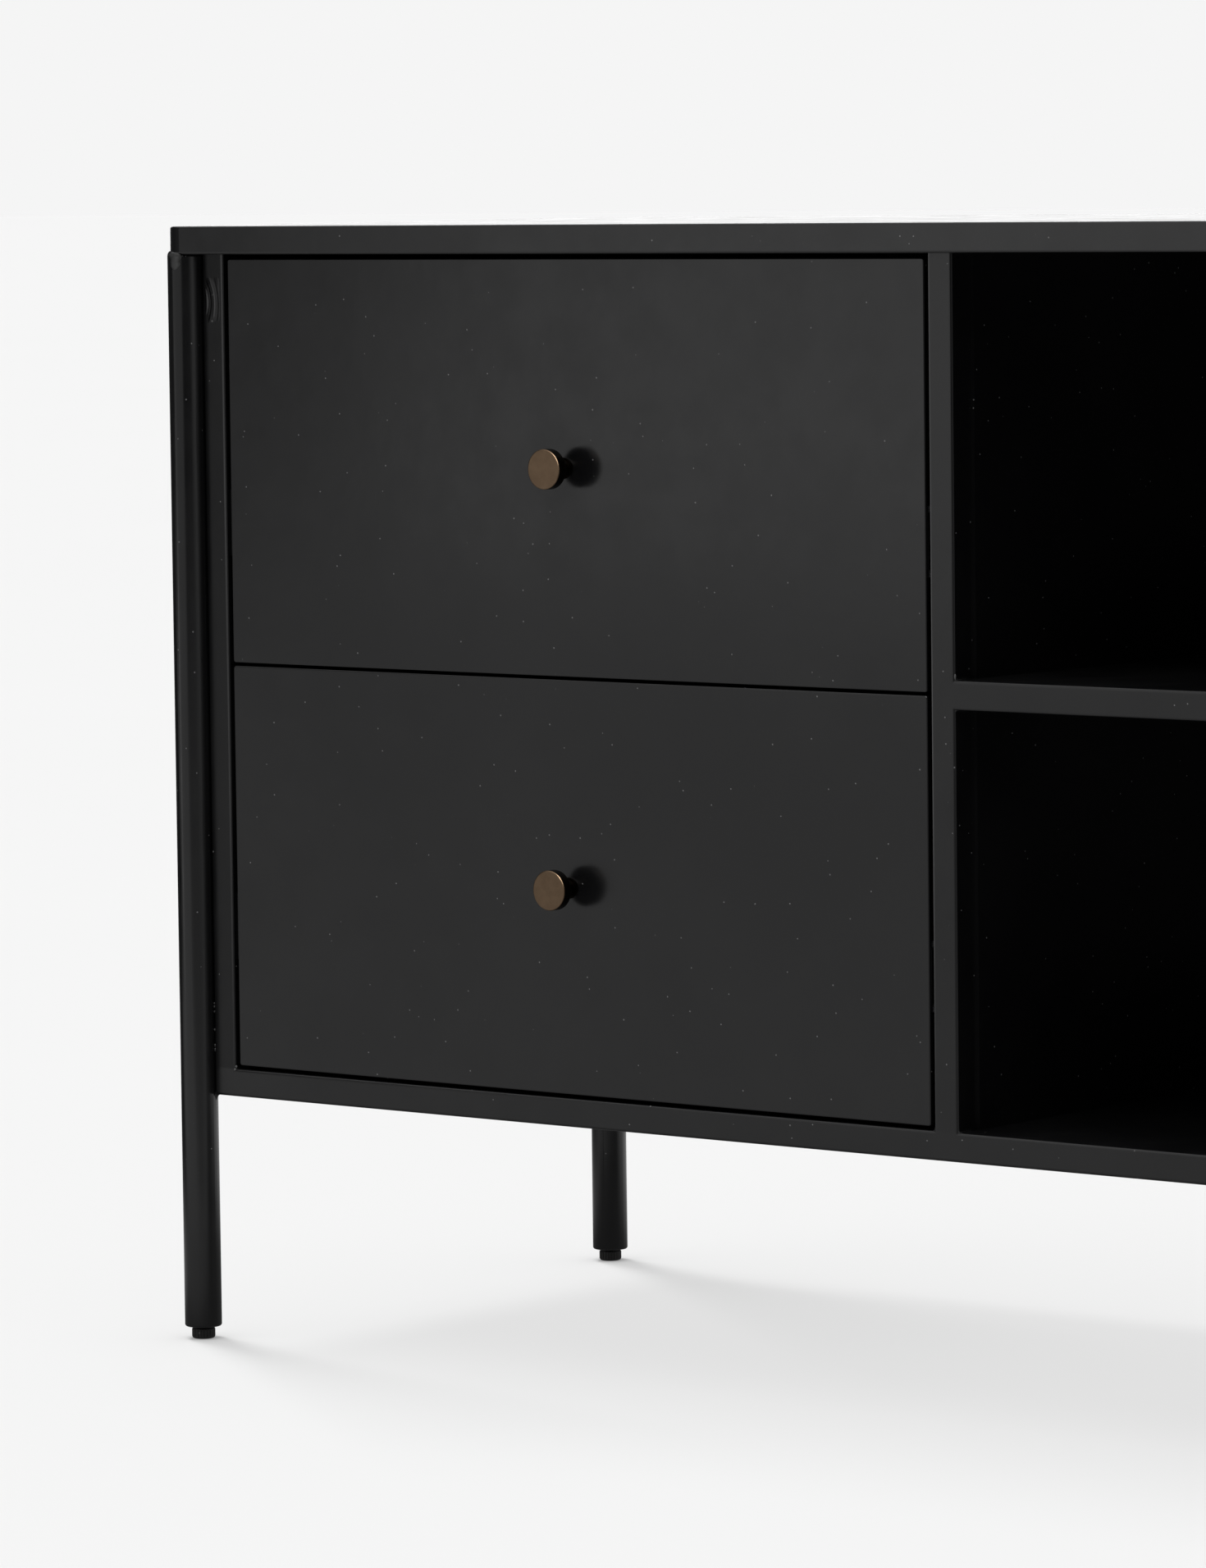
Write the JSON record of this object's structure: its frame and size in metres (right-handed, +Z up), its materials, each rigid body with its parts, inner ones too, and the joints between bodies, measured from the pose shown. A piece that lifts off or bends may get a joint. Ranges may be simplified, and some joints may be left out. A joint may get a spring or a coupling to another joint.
{
  "type": "sideboard with drawers",
  "caption": "Low black iron sideboard on round tube legs: a welded tube face frame holds inset drawers with round knobs at both ends and an open shelved bay between them.",
  "frame": {"origin": "on the floor, under the centre of the whole bounding box, knobs included", "axes": "+X to the right along the width, +Y from the drawer fronts to the back, +Z up"},
  "size_m": [1.905, 0.4772, 0.762],
  "materials": {
    "black_iron": "near-black satin powder coat over welded iron",
    "black_steel": "blackened steel",
    "zinc_steel": "bright zinc plate",
    "slide_steel": "black electro-coated steel",
    "plywood": "black-stained birch plywood",
    "bronze": "dark antique bronze"
  },
  "bodies": {
    "case": {"top_panel": "black_iron", "top_underside": "black_iron", "bottom_front_rail": "black_iron", "shelf_front_rail": "black_iron", "rear_posts": "black_iron", "bottom_rear_rail": "black_iron", "bottom_side_rails": "black_iron", "back_panel": "black_iron", "bottom_panel": "black_iron", "shelf_panel": "black_iron", "front_left_stile": "black_iron", "left_divider_post": "black_iron", "left_side_panel": "black_iron", "left_partition": "black_iron", "front_left_leg": "black_iron", "rear_left_leg": "black_iron", "front_right_stile": "black_iron", "right_divider_post": "black_iron", "right_side_panel": "black_iron", "right_partition": "black_iron", "front_right_leg": "black_iron", "rear_right_leg": "black_iron", "leg_plugs": "black_steel", "slide_outer_channels": "slide_steel"},
    "upper_left_drawer": {"upper_left_drawer_front": "black_iron", "upper_left_drawer_box_sides": "plywood", "upper_left_drawer_box_ends": "plywood", "upper_left_drawer_bottom": "plywood", "upper_left_drawer_knob": "bronze", "upper_left_drawer_knob_screw": "zinc_steel", "upper_left_drawer_slide_inner_channels": "slide_steel"},
    "upper_left_drawer_slide_middle": {"upper_left_drawer_slide_middle_channels": "slide_steel"},
    "upper_right_drawer": {"upper_right_drawer_front": "black_iron", "upper_right_drawer_box_sides": "plywood", "upper_right_drawer_box_ends": "plywood", "upper_right_drawer_bottom": "plywood", "upper_right_drawer_knob": "bronze", "upper_right_drawer_knob_screw": "zinc_steel", "upper_right_drawer_slide_inner_channels": "slide_steel"},
    "upper_right_drawer_slide_middle": {"upper_right_drawer_slide_middle_channels": "slide_steel"},
    "lower_left_drawer": {"lower_left_drawer_front": "black_iron", "lower_left_drawer_box_sides": "plywood", "lower_left_drawer_box_ends": "plywood", "lower_left_drawer_bottom": "plywood", "lower_left_drawer_knob": "bronze", "lower_left_drawer_knob_screw": "zinc_steel", "lower_left_drawer_slide_inner_channels": "slide_steel"},
    "lower_left_drawer_slide_middle": {"lower_left_drawer_slide_middle_channels": "slide_steel"},
    "lower_right_drawer": {"lower_right_drawer_front": "black_iron", "lower_right_drawer_box_sides": "plywood", "lower_right_drawer_box_ends": "plywood", "lower_right_drawer_bottom": "plywood", "lower_right_drawer_knob": "bronze", "lower_right_drawer_knob_screw": "zinc_steel", "lower_right_drawer_slide_inner_channels": "slide_steel"},
    "lower_right_drawer_slide_middle": {"lower_right_drawer_slide_middle_channels": "slide_steel"},
    "front_left_glide": {"front_left_glide": "black_steel"},
    "front_right_glide": {"front_right_glide": "black_steel"},
    "rear_left_glide": {"rear_left_glide": "black_steel"},
    "rear_right_glide": {"rear_right_glide": "black_steel"}
  },
  "joints": [
    {"name": "upper_left_drawer_pull", "type": "slide", "parent": "case", "child": "upper_left_drawer", "axis": [0, -1, 0], "range_m": [0, 0.38]},
    {"name": "upper_left_drawer_slide_middle_run", "type": "slide", "parent": "case", "child": "upper_left_drawer_slide_middle", "axis": [0, -1, 0], "range_m": [0, 0.19]},
    {"name": "upper_right_drawer_pull", "type": "slide", "parent": "case", "child": "upper_right_drawer", "axis": [0, -1, 0], "range_m": [0, 0.38]},
    {"name": "upper_right_drawer_slide_middle_run", "type": "slide", "parent": "case", "child": "upper_right_drawer_slide_middle", "axis": [0, -1, 0], "range_m": [0, 0.19]},
    {"name": "lower_left_drawer_pull", "type": "slide", "parent": "case", "child": "lower_left_drawer", "axis": [0, -1, 0], "range_m": [0, 0.38]},
    {"name": "lower_left_drawer_slide_middle_run", "type": "slide", "parent": "case", "child": "lower_left_drawer_slide_middle", "axis": [0, -1, 0], "range_m": [0, 0.19]},
    {"name": "lower_right_drawer_pull", "type": "slide", "parent": "case", "child": "lower_right_drawer", "axis": [0, -1, 0], "range_m": [0, 0.38]},
    {"name": "lower_right_drawer_slide_middle_run", "type": "slide", "parent": "case", "child": "lower_right_drawer_slide_middle", "axis": [0, -1, 0], "range_m": [0, 0.19]},
    {"name": "front_left_glide_turn", "type": "hinge", "parent": "case", "child": "front_left_glide", "pos_m": [-0.9398, -0.2187, 0], "axis": [0, 0, 1], "continuous": true},
    {"name": "front_right_glide_turn", "type": "hinge", "parent": "case", "child": "front_right_glide", "pos_m": [0.9398, -0.2187, 0], "axis": [0, 0, 1], "continuous": true},
    {"name": "rear_left_glide_turn", "type": "hinge", "parent": "case", "child": "rear_left_glide", "pos_m": [-0.9398, 0.2259, 0], "axis": [0, 0, 1], "continuous": true},
    {"name": "rear_right_glide_turn", "type": "hinge", "parent": "case", "child": "rear_right_glide", "pos_m": [0.9398, 0.2259, 0], "axis": [0, 0, 1], "continuous": true}
  ],
  "couplings": [
    {"joint": "upper_left_drawer_slide_middle_run", "follows": "upper_left_drawer_pull", "ratio": 0.5},
    {"joint": "upper_right_drawer_slide_middle_run", "follows": "upper_right_drawer_pull", "ratio": 0.5},
    {"joint": "lower_left_drawer_slide_middle_run", "follows": "lower_left_drawer_pull", "ratio": 0.5},
    {"joint": "lower_right_drawer_slide_middle_run", "follows": "lower_right_drawer_pull", "ratio": 0.5}
  ]
}
